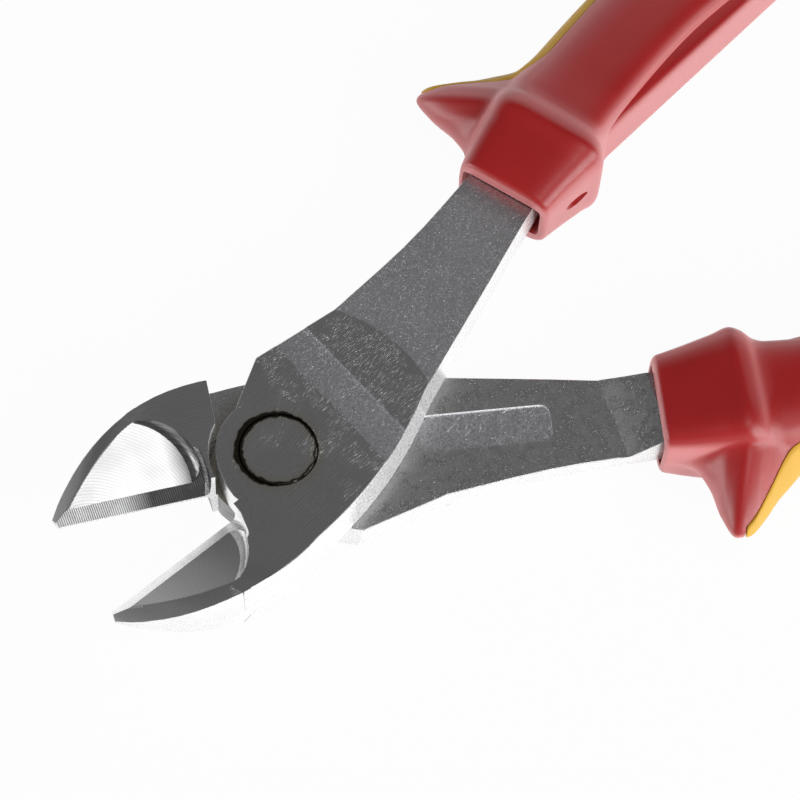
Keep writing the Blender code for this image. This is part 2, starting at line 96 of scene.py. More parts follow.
def node_adder(tree):
    """A function that adds a node to a tree of shader nodes and gives the node's first output."""

    def add(kind, settings, **inputs):
        """Inputs go by name, with _ for a blank, or by number, as _0."""
        node = tree.nodes.new("ShaderNode" + kind)
        for key, value in settings.items():
            setattr(node, key, value)
        for key, value in inputs.items():
            number = key[1:]
            socket = node.inputs[int(number) if number.isdigit() else key.replace("_", " ")]
            if isinstance(value, bpy.types.NodeSocket):
                tree.links.new(value, socket)
            else:
                socket.default_value = value
        return node.outputs[0]

    return add


def new_finish(name, roughness, metallic):
    """A material, the function that adds its nodes, and one that joins a socket to its shader."""
    material = bpy.data.materials.new(name)
    material.use_nodes = True
    tree = material.node_tree
    shader = tree.nodes["Principled BSDF"]
    shader.inputs["Roughness"].default_value = roughness
    shader.inputs["Metallic"].default_value = metallic

    def join(source, socket):
        tree.links.new(source, shader.inputs[socket])

    return material, node_adder(tree), join


def on_object(add):
    """The place on the finished piece, in metres."""
    return add("TexCoord", {}).node.outputs["Object"]


def placed(add, **moves):
    """The place on the piece as a pattern has it that is moved, turned or drawn out."""
    return add("Mapping", {"vector_type": "TEXTURE"}, Vector=on_object(add), **moves)


def ramp(add, value, *stops):
    """Colours or greys along a value, as (place, colour) pairs."""
    colour = add("ValToRGB", {}, Fac=value)
    elements = colour.node.color_ramp.elements
    while len(elements) < len(stops):
        elements.new(0.5)
    for element, (place, shade) in zip(elements, stops):
        element.position = place
        element.color = shade if isinstance(shade, tuple) else (shade, shade, shade, 1.0)
    return colour


def noise(add, scale, detail=3.0, roughness=0.5, place=None):
    """Even noise, from the place on the piece or from another."""
    place = place or on_object(add)
    return add("TexNoise", {}, Vector=place, Scale=scale, Detail=detail, Roughness=roughness)


def streaks(add, turn, length, width):
    """Noise drawn out along one direction in plan, as grinding and handling leave it."""
    drawn_out = placed(add, Rotation=(0, 0, turn), Scale=(length, width, width))
    return noise(add, scale=1.0, place=drawn_out)


def blend(add, kind, share, first, second):
    """Two colours mixed or multiplied by a share."""
    mixed = add("Mix", {"data_type": "RGBA", "blend_type": kind}, _0=share, _6=first, _7=second)
    return mixed.node.outputs[2]


def times(add, colour, shade):
    """A colour multiplied by another, or by a grey."""
    return blend(add, "MULTIPLY", 1.0, colour, shade)


def reckon(add, operation, first, second):
    """Two numbers added or multiplied."""
    return add("Math", {"operation": operation}, _0=first, _1=second)


def reckon_place(add, operation, *inputs):
    """A place or a direction that is moved, scaled or measured."""
    numbered = {f"_{k}": value for k, value in enumerate(inputs)}
    return add("VectorMath", {"operation": operation}, **numbered)


def relief(add, height, depth, under=None):
    """Bumps of a given depth, on top of others."""
    inputs = {"Normal": under} if under else {}
    return add("Bump", {}, Strength=1.0, Distance=depth, Height=height, **inputs)


def between(add, value, low, high, first=0.0, last=1.0):
    """A value that goes from first to last as another goes from low to high."""
    return add("MapRange", {}, Value=value, From_Min=low, From_Max=high, To_Min=first, To_Max=last)


def along(add, turn):
    """The distance in front of the pivot, along a half that lies turned in plan."""
    return add("SeparateXYZ", {}, Vector=placed(add, Rotation=(0, 0, turn)))


# Span along each jaw over which the hollows and bevels take painted light and shade
JAW_SHADED = (0.010, 0.050)
# Span towards each grip's mouth over which the handles take a painted shadow
PAINTED_MOUTH_SHADOW = (0.0655, 0.0722)


def along_jaw(add, turn):
    """The same as a share, from the root of the jaw to beyond its tip."""
    return between(add, along(add, turn), *JAW_SHADED)


def from_pivot(add):
    """The distance from the pivot, whichever way."""
    return reckon_place(add, "LENGTH", on_object(add)).node.outputs["Value"]


def painted_shadow_by_mouth(add, colour, shade):
    """A handle's colour with a painted shadow that darkens it towards the grip's mouth."""
    towards = between(add, from_pivot(add), *PAINTED_MOUTH_SHADOW, first=1.0, last=shade)
    return times(add, colour, towards)


OIL_COLOUR = (0.055, 0.048, 0.034, 1.0)
STAIN_COLOUR = (0.92, 0.86, 0.62, 1.0)
OIL_WANDER = 0.00035
OIL_SHIFT = (0.00040, -0.00055, 0.0)
OIL_INSIDE = (RIVET_HEAD - 0.00060, RIVET_HEAD - 0.00035)
OIL_OUTSIDE = (RIVET_HEAD + 0.00072, RIVET_HEAD + 0.00050)
STAINED = (0.0040, 0.0100)


def oil_ring(add, colour):
    """Old oil in a ragged ring along the rivet's seam, thicker on one side, with a faint stain."""
    edge = noise(add, scale=420.0, detail=5.0, roughness=0.65)
    ragged = between(add, edge, low=0.3, high=0.7, first=-OIL_WANDER, last=OIL_WANDER)
    reaches = []
    for centre in ((0.0, 0.0, 0.0), OIL_SHIFT):
        about = reckon_place(add, "SUBTRACT", on_object(add), centre)
        in_plan = reckon_place(add, "MULTIPLY", about, (1.0, 1.0, 0.0))
        reach = reckon_place(add, "LENGTH", in_plan).node.outputs["Value"]
        reaches.append(reckon(add, "ADD", reach, ragged))
    centred, shifted = reaches
    inner = between(add, centred, *OIL_INSIDE)
    outer = between(add, shifted, *OIL_OUTSIDE)
    ring = reckon(add, "MULTIPLY", inner, outer)
    halo = ramp(add, between(add, centred, *STAINED), (0.2, 0.0), (0.5, 0.55), (0.9, 0.0))
    stained = blend(add, "MULTIPLY", halo, colour, STAIN_COLOUR)
    return blend(add, "MIX", ring, stained, OIL_COLOUR)


NICK_SKEW = 0.05


def ground_finish(name, turn):
    """A ground face: fine lines one way, stains, and bright scratches, most behind the pivot."""
    material, add, join = new_finish(name, roughness=0.27, metallic=1.0)
    fine = streaks(add, turn, length=0.009, width=0.00020)
    nick = streaks(add, turn + NICK_SKEW, length=0.0014, width=0.00009)
    patch = noise(add, scale=170.0, detail=2.0)
    steel = ramp(add, fine, (0.3, (0.55, 0.55, 0.56, 1)), (0.7, (0.70, 0.70, 0.72, 1)))
    stain = ramp(add, noise(add, scale=60.0), (0.35, (0.95, 0.94, 0.91, 1)), (0.6, 1.0))
    join(oil_ring(add, times(add, steel, stain)), "Base Color")
    join(ramp(add, fine, (0.3, 0.29), (0.7, 0.23)), "Roughness")
    handled = between(add, along(add, turn), low=0.012, high=-0.014, first=-0.14, last=0.20)
    where = ramp(add, reckon(add, "ADD", patch, handled), (0.56, 0.0), (0.70, 1.0))
    cuts = times(add, ramp(add, nick, (0.60, 0.0), (0.70, 1.0)), where)
    join(relief(add, cuts, depth=0.00004, under=relief(add, fine, depth=0.000005)), "Normal")
    return material


def forged_finish(name, metallic, dark, bright, blue, depth, mouth_shade):
    """As forged and tumbled: fine pits that sparkle where they face the light, and scratches."""
    material, add, join = new_finish(name, roughness=0.30, metallic=metallic)
    grain = noise(add, scale=5600.0, detail=2.0, roughness=0.6)
    dents = noise(add, scale=1800.0, detail=2.0)
    cloud = noise(add, scale=130.0, detail=4.0)
    low, high = (dark, dark, dark * blue, 1), (bright, bright, bright * blue, 1)
    steel = ramp(add, grain, (0.38, low), (0.60, high))
    steel = times(add, steel, ramp(add, cloud, (0.3, 0.93), (0.7, 1.0)))
    # Painted shadow: the base colour darkens towards the grip's mouth, down to mouth_shade
    join(painted_shadow_by_mouth(add, steel, mouth_shade), "Base Color")
    join(ramp(add, dents, (0.3, 0.34), (0.7, 0.24)), "Roughness")
    pits = ramp(add, noise(add, scale=5000.0, detail=1.0), (0.66, 0.0), (0.74, 1.0))
    scratch = streaks(add, turn=0.25, length=0.0025, width=0.00014)
    marks = ramp(add, scratch, (0.68, 0.0), (0.76, 1.0))
    rough = relief(add, dents, depth * 0.5, under=relief(add, grain, depth * 0.5))
    join(relief(add, marks, depth, under=relief(add, pits, depth * 1.2, under=rough)), "Normal")
    return material


def milled_finish(name, half_frame, turn, shade, arcs_dark):
    """A milled hollow with its feed's fine arcs; shade gives painted light and shade along the jaw.
    """
    material, add, join = new_finish(name, roughness=0.34, metallic=1.0)
    about = placed(add, Location=half_frame @ FEED_CENTRE)
    rings = {"wave_type": "RINGS", "rings_direction": "Z"}
    feed = {"Scale": 570.0, "Distortion": 0.5, "Detail": 2.0, "Detail_Scale": 0.6}
    arcs = add("TexWave", rings, Vector=about, **feed).node.outputs["Fac"]
    patch = noise(add, scale=150.0)
    faint = ramp(add, patch, (0.35, 0.45), (0.65, 1.0))
    cut = ramp(add, arcs, (0.05, arcs_dark), (0.55, 1.0))
    lines = blend(add, "MIX", faint, (1.0, 1.0, 1.0, 1.0), cut)
    # Painted light and shade: the base colour changes along the jaw, standing in for what the
    # hollow reflects
    join(times(add, lines, ramp(add, along_jaw(add, turn), *shade)), "Base Color")
    join(ramp(add, patch, (0.3, 0.38), (0.7, 0.30)), "Roughness")
    join(relief(add, arcs, depth=0.000005), "Normal")
    return material


def wall_finish(name, dark, bright):
    """The hollow's wall and its fillet, cut by the mill's edge in fine level lines."""
    material, add, join = new_finish(name, roughness=0.26, metallic=1.0)
    lines = noise(add, scale=1.0, place=placed(add, Scale=(0.004, 0.004, 0.0002)))
    # dark and bright set each jaw's painted light and shade on its wall
    join(ramp(add, lines, (0.3, dark), (0.6, bright)), "Base Color")
    join(ramp(add, lines, (0.3, 0.32), (0.7, 0.22)), "Roughness")
    join(relief(add, lines, depth=0.000006), "Normal")
    return material


BEVEL_LINE_SKEW = 0.12
BEVEL_MARK_SKEW = 0.9


def bevel_finish(name, turn, shade, lines_dark):
    """The bevel behind the cutting edge: hardened, and ground in fine lines across the edge."""
    material, add, join = new_finish(name, roughness=0.28, metallic=1.0)
    across = placed(add, Rotation=(0, 0, turn + BEVEL_LINE_SKEW))
    bands = {"wave_type": "BANDS", "bands_direction": "X"}
    wheel = {"Scale": 800.0, "Distortion": 0.3, "Detail": 1.0}
    lines = add("TexWave", bands, Vector=across, **wheel).node.outputs["Fac"]
    tone = ramp(add, lines, (0.25, lines_dark), (0.65, 1.0))
    # Painted light and shade: shade lightens and darkens the base colour along the jaw
    join(times(add, tone, ramp(add, along_jaw(add, turn), *shade)), "Base Color")
    join(ramp(add, noise(add, scale=400.0), (0.3, 0.34), (0.7, 0.24)), "Roughness")
    scratch = streaks(add, turn + BEVEL_MARK_SKEW, length=0.0016, width=0.00012)
    marks = ramp(add, scratch, (0.72, 0.0), (0.78, 1.0))
    join(relief(add, marks, depth=0.00002, under=relief(add, lines, depth=0.000005)), "Normal")
    return material


LAP_OILED = (0.010, 0.050)
OLD_OIL, THIN_OIL, CLEAN = (0.30, 0.24, 0.17, 1), (0.60, 0.57, 0.49, 1), (0.95, 0.95, 0.96, 1)


def lap_finish(name, mouth_shade):
    """The face that meets the other half: forged grain on the handle, oily near the joint."""
    material, add, join = new_finish(name, roughness=0.30, metallic=1.0)
    grain = noise(add, scale=4600.0, detail=2.0, roughness=0.6)
    spread = between(add, from_pivot(add), *LAP_OILED)
    oily = ramp(add, spread, (0.0, OLD_OIL), (0.12, THIN_OIL), (0.24, CLEAN))
    tone = ramp(add, grain, (0.36, 0.52), (0.62, 0.84))
    # Painted shadow: the base colour darkens towards the grip's mouth, down to mouth_shade
    join(painted_shadow_by_mouth(add, times(add, tone, oily), mouth_shade), "Base Color")
    join(ramp(add, noise(add, scale=500.0), (0.3, 0.33), (0.7, 0.24)), "Roughness")
    pits = ramp(add, noise(add, scale=4200.0, detail=1.0), (0.66, 0.0), (0.74, 1.0))
    scratch = streaks(add, turn=-0.5, length=0.003, width=0.00014)
    marks = ramp(add, scratch, (0.76, 0.0), (0.84, 1.0))
    rough = relief(add, pits, depth=0.00003, under=relief(add, grain, depth=0.000012))
    join(relief(add, marks, depth=0.00001, under=rough), "Normal")
    return material


# How far a face's normal rises out of the joint, and the other turns that tell the finishes apart
FACES_IN = -0.8
FACES_OUT = 0.7
STEEP = 0.5
HOLLOW_MATCH = 0.996
BEVEL_SLOPE = 0.6
BEVEL_SQUARE = 0.1
WALL_RISE = -0.3
WALL_FACING = -0.15
FORGED, GROUND, MILLED, WALL, BEVEL, LAP, SIDE = range(7)


def zone(point, normal, skew, hollow_tilt):
    """Which finish a face of a half has, from where it lies and faces in the half's own frame."""
    height = abs(point.z)
    square = Matrix.Rotation(skew, 3, "Z") @ normal
    lean, rise = -square.y, square.z * (1 if point.z > 0 else -1)
    if point.xy.length < RIVET_HEAD + SEAM_MARGIN and rise > FACES_IN:
        return GROUND
    if point.x > JAW_START:
        floor = Vector((0.0, -math.sin(hollow_tilt), math.cos(hollow_tilt)))
        if Vector((square.x, square.y, rise)).dot(floor) > HOLLOW_MATCH:
            return MILLED
        if lean > BEVEL_SLOPE and rise > BEVEL_SLOPE and abs(square.x) < BEVEL_SQUARE:
            return BEVEL
        out = point.xy - MILL_CENTRE
        round_mill = out.length > MILL_RADIUS - MILL_WALL
        if rise > WALL_RISE and round_mill and out.dot(normal.xy) < WALL_FACING * out.length:
            return WALL
        if rise > STEEP:
            return GROUND
    if rise < FACES_IN:
        return FORGED if PANEL_FLOOR < height < FINE_STEP else LAP
    if rise > FACES_OUT and height > FACE - GROUND_DEPTH:
        return GROUND
    if rise > FACES_OUT and height < JOGGLE_DEPTH:
        return LAP
    return SIDE if abs(rise) < STEEP and height < FACE - FINE_STEP else FORGED


WORN_ANGLE = math.radians(30)


def worn(edge, to_half, skew):
    """Whether tumbling has broken an edge.

    It leaves the cutting edge, the blade's tip, fine steps and the rivet's seam as they are.
    """
    if len(edge.link_faces) < 2 or edge.calc_face_angle() < WORN_ANGLE:
        return False
    middle = to_half @ ((edge.verts[0].co + edge.verts[1].co) / 2)
    if middle.xy.length < RIVET_HEAD + UNBROKEN_MARGIN:
        return False
    tip = Vector((TIP_REACH, 0.0, 0.0))
    off_line = (Matrix.Rotation(skew, 3, "Z") @ (middle - tip)).y
    if middle.x > TIP_REACH - TIP_LENGTH:
        return False
    if middle.x > CUT_START and abs(off_line) < CUT_WIDTH:
        return False
    for face in edge.link_faces:
        heights = [vert.co.z for vert in face.verts]
        if max(heights) - min(heights) < FINE_STEP and abs(face.normal.z) < STEEP:
            return False
    return edge.calc_length() > EDGE_BREAK


def as_mesh(piece):
    """The plain mesh that a piece's modifiers give."""
    bpy.context.view_layer.update()
    evaluated = piece.evaluated_get(bpy.context.evaluated_depsgraph_get())
    return bpy.data.meshes.new_from_object(evaluated)


MERGED = 2e-6
ONE_FACE = math.radians(0.4)
CREASE = math.radians(38)
LEVEL = 0.9998


def forged_piece(node, half_frame, skew, hollow_tilt, finishes):
    """A half taken from its solid: merged, with broken edges, and each face given its finish."""
    to_half = half_frame.inverted()
    bm = bmesh.new()
    bm.from_mesh(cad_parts[node].data)
    bmesh.ops.remove_doubles(bm, verts=bm.verts, dist=MERGED)
    bmesh.ops.dissolve_limit(bm, angle_limit=ONE_FACE, verts=bm.verts, edges=bm.edges)
    sharp = [edge for edge in bm.edges if worn(edge, to_half, skew)]
    broken = bmesh.ops.bevel(
        bm, geom=sharp, offset=EDGE_BREAK, segments=BREAK_STEPS, profile=0.5, affect="EDGES",
        clamp_overlap=False)["faces"]
    turn = to_half.to_3x3()
    for face in bm.faces:
        middle = to_half @ face.calc_center_median()
        kind = zone(middle, turn @ face.normal, skew, hollow_tilt)
        face.material_index = kind
        face.smooth = kind not in (MILLED, BEVEL) and abs(face.normal.z) < LEVEL
    strips = set(broken)
    for face in broken:
        touching = [other for edge in face.edges for other in edge.link_faces]
        beside = [other for other in touching if other not in strips]
        nearest = max(beside, key=lambda other: other.calc_area(), default=None)
        face.material_index = nearest.material_index if nearest else GROUND
        face.smooth = True
    for edge in bm.edges:
        one_finish = len({face.material_index for face in edge.link_faces}) == 1
        edge.smooth = one_finish and edge.calc_face_angle(math.pi) < CREASE
    mesh = bpy.data.meshes.new(node + "_steel")
    bm.to_mesh(mesh)
    bm.free()
    for finish in finishes:
        mesh.materials.append(finish)
    piece = bpy.data.objects.new(node + "_steel", mesh)
    bpy.context.collection.objects.link(piece)
    flat = piece.modifiers.new("flat_faces", "WEIGHTED_NORMAL")
    flat.weight = 100
    flat.keep_sharp = True
    piece.data = as_mesh(piece)
    piece.modifiers.remove(flat)
    return piece


forged_grain = forged_finish(
    "forged_grain", metallic=1.0, dark=0.68, bright=0.96, blue=1.04, depth=0.00005,
    mouth_shade=0.45)
# Painted light: the side walls take a near-white, half-metallic copy of the forged grain, so they
# read as lit
painted_light_side_grain = forged_finish(
    "painted_light_side_grain", metallic=0.55, dark=0.96, bright=1.0, blue=1.0, depth=0.000001,
    mouth_shade=0.9)
lap_face = lap_finish("lap_face", mouth_shade=0.6)
back_jaw = (
    # Painted shade near the root of the back hollow, painted light beyond it
    milled_finish(
        "back_hollow", back_frame, back_turn, shade=((0.15, 0.08), (0.25, 0.98)), arcs_dark=0.78),
    # Painted shade: the back jaw's wall is a dark copy of the wall finish
    wall_finish("back_wall_painted_shade", dark=0.10, bright=0.28),
    # Painted shade near the root of the back bevel, painted light towards its tip
    bevel_finish("back_bevel", back_turn, shade=((0.36, 0.13), (0.50, 0.98)), lines_dark=0.30),
)
front_jaw = (
    # Painted shade at the root of the front hollow, growing to painted light towards its tip
    milled_finish(
        "front_hollow", front_frame, front_turn, shade=((0.10, 0.28), (0.30, 0.50), (0.65, 0.98)),
        arcs_dark=0.93),
    # Painted light: the front jaw's wall is a near-white copy of the wall finish
    wall_finish("front_wall_painted_light", dark=0.85, bright=0.99),
    # Painted light: the front bevel is near-white all along, and its lines are faint
    bevel_finish("front_bevel", front_turn, shade=((0.10, 0.97), (0.60, 0.99)), lines_dark=0.94),
)
halves = (
    ("back_half", "back", back_frame, back_turn, -CUT_SKEW, BACK_HOLLOW_TILT, back_jaw),
    ("front_half", "front", front_frame, front_turn, CUT_SKEW, FRONT_HOLLOW_TILT, front_jaw),
)
for node, body, half_frame, turn, skew, hollow_tilt, jaw in halves:
    ground = ground_finish(body + "_ground", turn)
    finishes = (forged_grain, ground, *jaw, lap_face, painted_light_side_grain)
    steel = forged_piece(node, half_frame, skew, hollow_tilt, finishes)
    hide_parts(node)
    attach(steel, body)


# Pivot rivet. A steel rivet turned from bar, pressed and ground flush with both faces, with old oil
# standing in the ragged seam round its head. Geometry Nodes sweep its profile round the pivot.

RIVET_RADIUS = 0.0055
RIVET_HEAD_DEPTH = 0.0026
RIVET_STEPS = 128
RIVET_GRIND = 0.4
HEAD_BREAK = 0.00008
SHARP = math.radians(40)


def turned_tree():
    """Sweeps a profile, drawn outwards from the shaft, round the pivot axis."""
    tree = bpy.data.node_groups.new("turned_rivet", "GeometryNodeTree")
    sockets = tree.interface
    sockets.new_socket("Profile", in_out="INPUT", socket_type="NodeSocketGeometry")
    inputs = {}
    for label, kind in (("Shaft Radius", "Float"), ("Steps Around", "Int"), ("Finish", "Material")):
        socket = sockets.new_socket(label, in_out="INPUT", socket_type="NodeSocket" + kind)
        inputs[label] = socket.identifier
    sockets.new_socket("Rivet", in_out="OUTPUT", socket_type="NodeSocketGeometry")

    given = tree.nodes.new("NodeGroupInput")
    result = tree.nodes.new("NodeGroupOutput")
    profile = tree.nodes.new("GeometryNodeMeshToCurve")
    path = tree.nodes.new("GeometryNodeCurvePrimitiveCircle")
    swept = tree.nodes.new("GeometryNodeCurveToMesh")
    closed = tree.nodes.new("GeometryNodeMergeByDistance")
    closed.inputs["Distance"].default_value = 1e-6
    real = tree.nodes.new("GeometryNodeRealizeInstances")
    finished = tree.nodes.new("GeometryNodeSetMaterial")
    join = tree.links.new
    join(given.outputs["Profile"], profile.inputs["Mesh"])
    join(given.outputs["Shaft Radius"], path.inputs["Radius"])
    join(given.outputs["Steps Around"], path.inputs["Resolution"])
    join(path.outputs["Curve"], swept.inputs["Curve"])
    join(profile.outputs["Curve"], swept.inputs["Profile Curve"])
    join(swept.outputs["Mesh"], closed.inputs["Geometry"])
    join(closed.outputs["Geometry"], real.inputs["Geometry"])
    join(real.outputs["Geometry"], finished.inputs["Geometry"])
    join(given.outputs["Finish"], finished.inputs["Material"])
    join(finished.outputs["Geometry"], result.inputs["Rivet"])
    return tree, inputs


def add_piece(name, bm, material):
    """A closed mesh made an object, smooth but for its sharp edges."""
    bmesh.ops.recalc_face_normals(bm, faces=bm.faces)
    for face in bm.faces:
        face.smooth = True
    mesh = bpy.data.meshes.new(name)
    bm.to_mesh(mesh)
    bm.free()
    mesh.set_sharp_from_angle(angle=SHARP)
    mesh.materials.append(material)
    piece = bpy.data.objects.new(name, mesh)
    bpy.context.collection.objects.link(piece)
    return piece


# The upper head, as (radius, height) from under the countersink to the middle of the ground face
upper = [
    (RIVET_RADIUS, FACE - RIVET_HEAD_DEPTH),
    (RIVET_HEAD, FACE - RIVET_HEAD_DEPTH + RIVET_HEAD - RIVET_RADIUS),
    (RIVET_HEAD, FACE - HEAD_BREAK),
    (RIVET_HEAD - HEAD_BREAK * 0.3, FACE - HEAD_BREAK * 0.3),
    (RIVET_HEAD - HEAD_BREAK, FACE),
    (RIVET_HEAD - HEAD_BREAK * 1.5, FACE),
    (0.0, FACE),
]
profile = [(radius, -height) for radius, height in reversed(upper)] + upper
outline = bpy.data.meshes.new("rivet_profile")
corners = [(radius - RIVET_RADIUS, height, 0.0) for radius, height in profile]
outline.from_pydata(corners, [(k, k + 1) for k in range(len(corners) - 1)], [])
lathe = bpy.data.objects.new("rivet_profile", outline)
bpy.context.collection.objects.link(lathe)
rivet_steel = ground_finish("rivet_ground", RIVET_GRIND)
tree, inputs = turned_tree()
turning = lathe.modifiers.new("turning", "NODES")
turning.node_group = tree
turning[inputs["Shaft Radius"]] = RIVET_RADIUS
turning[inputs["Steps Around"]] = RIVET_STEPS
turning[inputs["Finish"]] = rivet_steel
turned = as_mesh(lathe)
lathe.modifiers.remove(turning)
bpy.data.objects.remove(lathe)
bm = bmesh.new()
bm.from_mesh(turned)
bmesh.ops.translate(bm, verts=bm.verts, vec=(0.0, 0.0, -FACE))
rivet = add_piece("pivot_rivet_turned", bm, rivet_steel)
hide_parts("pivot_rivet")
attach(rivet, "back")


# Grips. Each handle carries a sleeve moulded in glossy red plastic over a hard core, with a flared
# guard behind its mouth. A soft yellow pad is moulded into a recess in its outer side and runs up
# the back of the guard.

MOUTH_REACH = 0.0708
GRIP_LENGTH = 0.1371
TANG_LENGTH = 0.128
TANG_END_GAP = 0.001
HANDLE_HALF = 0.0042
DRAFT = 0.001
BORE_GAP = 0.0003
CORE_WALL = 0.0012
CORE_END_WALL = 0.002
CORE_SET_IN = 0.012
REST_HALF_HEIGHT = 0.0113
INNER_SQUARENESS = 5.0
BORE_SQUARENESS = 10.0
GUARD_SHARPNESS = 1.6
GUARD_LEAN = 0.245
GUARD_BLEND = 0.0008
SPINE_ROOM = 0.0124
SPINE_STEP = 0.0006
AROUND = 128
# Distance behind the pivot, the handle's middle line and its width
SPINE = np.array((
    (0.028, -0.0019, 0.0240),
    (0.050, -0.0061, 0.01775),
    (MOUTH_REACH, -0.0111, 0.0137),
    (0.095, -0.0160, 0.0104),
    (0.130, -0.0200, 0.0092),
    (0.165, -0.0195, 0.0088),
    (MOUTH_REACH + TANG_LENGTH, -0.0160, 0.0080),
))
# Distance behind the mouth, inner and outer reach, half height, guard's reach, outer squareness
GRIP_FORM = np.array((
    (0.0, 0.0102, 0.0096, 0.0074, 0.0085, 5.0),
    (0.0045, 0.0112, 0.0104, 0.0086, 0.0106, 5.0),
    (0.0088, 0.0123, 0.0110, 0.0097, 0.0164, 5.0),
    (0.0112, 0.0129, 0.0113, 0.0103, 0.0220, 4.8),
    (0.0146, 0.0138, 0.0118, 0.0113, 0.0265, 4.6),
    (0.0168, 0.0130, 0.0123, 0.0109, 0.0259, 3.8),
    (0.0190, 0.0112, 0.0126, 0.0100, 0.0230, 3.0),
    (0.0212, 0.0105, 0.0126, 0.0097, 0.0190, 2.8),
    (0.0300, 0.0101, 0.0117, 0.0094, 0.0105, 2.8),
    (0.0740, 0.0104, 0.0112, 0.0093, 0.0100, 2.8),
    (0.1145, 0.0112, 0.0122, 0.0113, 0.0100, 2.8),
    (0.1285, 0.0106, 0.0112, 0.0113, 0.0095, 2.8),
    (GRIP_LENGTH, 0.0062, 0.0064, 0.0066, 0.0050, 2.8),
))


def follow(table, at):
    """Every column of a table between its rows, passing through them without overshooting."""
    knots = table[:, 0]
    k = int(np.clip(np.searchsorted(knots, at) - 1, 0, len(knots) - 2))
    steps = np.diff(table[:, 1:], axis=0) / np.diff(knots)[:, None]
    before, after = steps[:-1], steps[1:]
    with np.errstate(divide="ignore", invalid="ignore"):
        inner = np.where(before * after > 0, 2 * before * after / (before + after), 0.0)
    slopes = np.vstack((steps[:1], inner, steps[-1:]))
    span = knots[k + 1] - knots[k]
    t = (at - knots[k]) / span
    start = (1 + 2 * t) * (1 - t) ** 2 * table[k, 1:] + t * (1 - t) ** 2 * span * slopes[k]
    end = t * t * (3 - 2 * t) * table[k + 1, 1:] + t * t * (t - 1) * span * slopes[k + 1]
    return start + end


def on_handle(reach, across, height):
    """A point of a section square to the handle's middle line; the guard leans forwards outside."""
    reach -= GUARD_LEAN * max(0.0, -across - SPINE_ROOM)
    middle, ahead, behind = (
        follow(SPINE, place)[0] for place in (reach, reach + SPINE_STEP, reach - SPINE_STEP))
    lean = (ahead - behind) / (2 * SPINE_STEP)
    inwards = Vector((lean, 1.0)).normalized()
    return Vector((-reach + inwards.x * across, middle + inwards.y * across, height))


def outer_side(rise, form, grow=0.0):
    """A point of the outer side, grown by a margin, at a share of the section's half height."""
    _, outer, half_height, guard, squareness = form
    share = min(1.0, abs(rise))
    plain = (outer + grow) * (1 - share ** squareness) ** (1 / squareness)
    ridge = (guard + grow) * (1 - share ** GUARD_SHARPNESS)
    across = (plain + ridge + math.hypot(plain - ridge, GUARD_BLEND * plain / outer)) / 2
    height = min(REST_HALF_HEIGHT, share * (half_height + grow))
    return -across, math.copysign(height, rise)


def inner_side(turn, form, squareness):
    """A point of the inner side, a squared oval whose middle is at turn 0."""
    c, s = math.cos(turn), math.sin(turn)
    height = min(REST_HALF_HEIGHT, abs(s) ** (2 / squareness) * form[2])
    return c ** (2 / squareness) * form[0], math.copysign(height, s)


halfway = [(k + 0.5) / AROUND * 2 for k in range(AROUND // 2)]


def ring_points(form, inner_squareness):
    """Points round a section: up its inner side by turn, and down its outer side by rise."""
    turns = [math.pi * (share - 0.5) for share in halfway]
    inner = [inner_side(turn, form, inner_squareness) for turn in turns]
    return inner + [outer_side(math.cos(math.pi * share), form) for share in halfway]


def section(behind_mouth, draw_in=0.0):
    """The sleeve's outside at a distance behind its mouth, drawn in all round."""
    form = follow(GRIP_FORM, behind_mouth)
    form[:4] -= draw_in
    points = ring_points(form, INNER_SQUARENESS)
    return [on_handle(MOUTH_REACH + behind_mouth, across, height) for across, height in points]


def bore(behind_mouth, room, face_room):
    """The sleeve's bore round the handle, standing off its sides and its faces."""
    reach = MOUTH_REACH + behind_mouth
    half_width = follow(SPINE, min(reach, SPINE[-1, 0]))[1] / 2 + DRAFT + room
    form = (half_width, half_width, HANDLE_HALF + face_room, 0.0, BORE_SQUARENESS)
    points = ring_points(form, BORE_SQUARENESS)
    return [on_handle(reach, across, height) for across, height in points]


def add_loft(name, rings, half_frame, material):
    """A closed piece through rings of equal length, drawn in a half's frame."""
    bm = bmesh.new()
    loops = [[bm.verts.new(half_frame @ Vector(point)) for point in ring] for ring in rings]
    for low, high in zip(loops, loops[1:]):
        for k, corner in enumerate(low):
            after = (k + 1) % len(low)
            bm.faces.new((corner, low[after], high[after], high[k]))
    bm.faces.new(loops[0])
    bm.faces.new(loops[-1])
    return add_piece(name, bm, material)


def carve(piece, *cutters):
    """Takes the cutters out of a piece and leaves it a plain mesh."""
    for cutter in cutters:
        step = piece.modifiers.new(cutter.name, "BOOLEAN")
        step.solver = "EXACT"
        step.object = cutter
    carved = as_mesh(piece)
    piece.modifiers.clear()
    piece.data = carved
    carved.set_sharp_from_angle(angle=SHARP)
    for cutter in cutters:
        bpy.data.objects.remove(cutter)


PAD_START = 0.0159
PAD_LENGTH = 0.0996
PAD_TONGUE = 0.0150
PAD_RISE = 0.77
PAD_END_RISE = 0.13
PAD_END_SHARPNESS = 6
PAD_DEPTH = 0.0014
PAD_PROUD = 0.0004
PAD_ROUND = 0.0005
PAD_SIDE_SHARPNESS = 14
PAD_TIP_SHARPNESS = 400
PAD_RINGS = 90
PAD_ACROSS = 28
SEAM = 0.00022


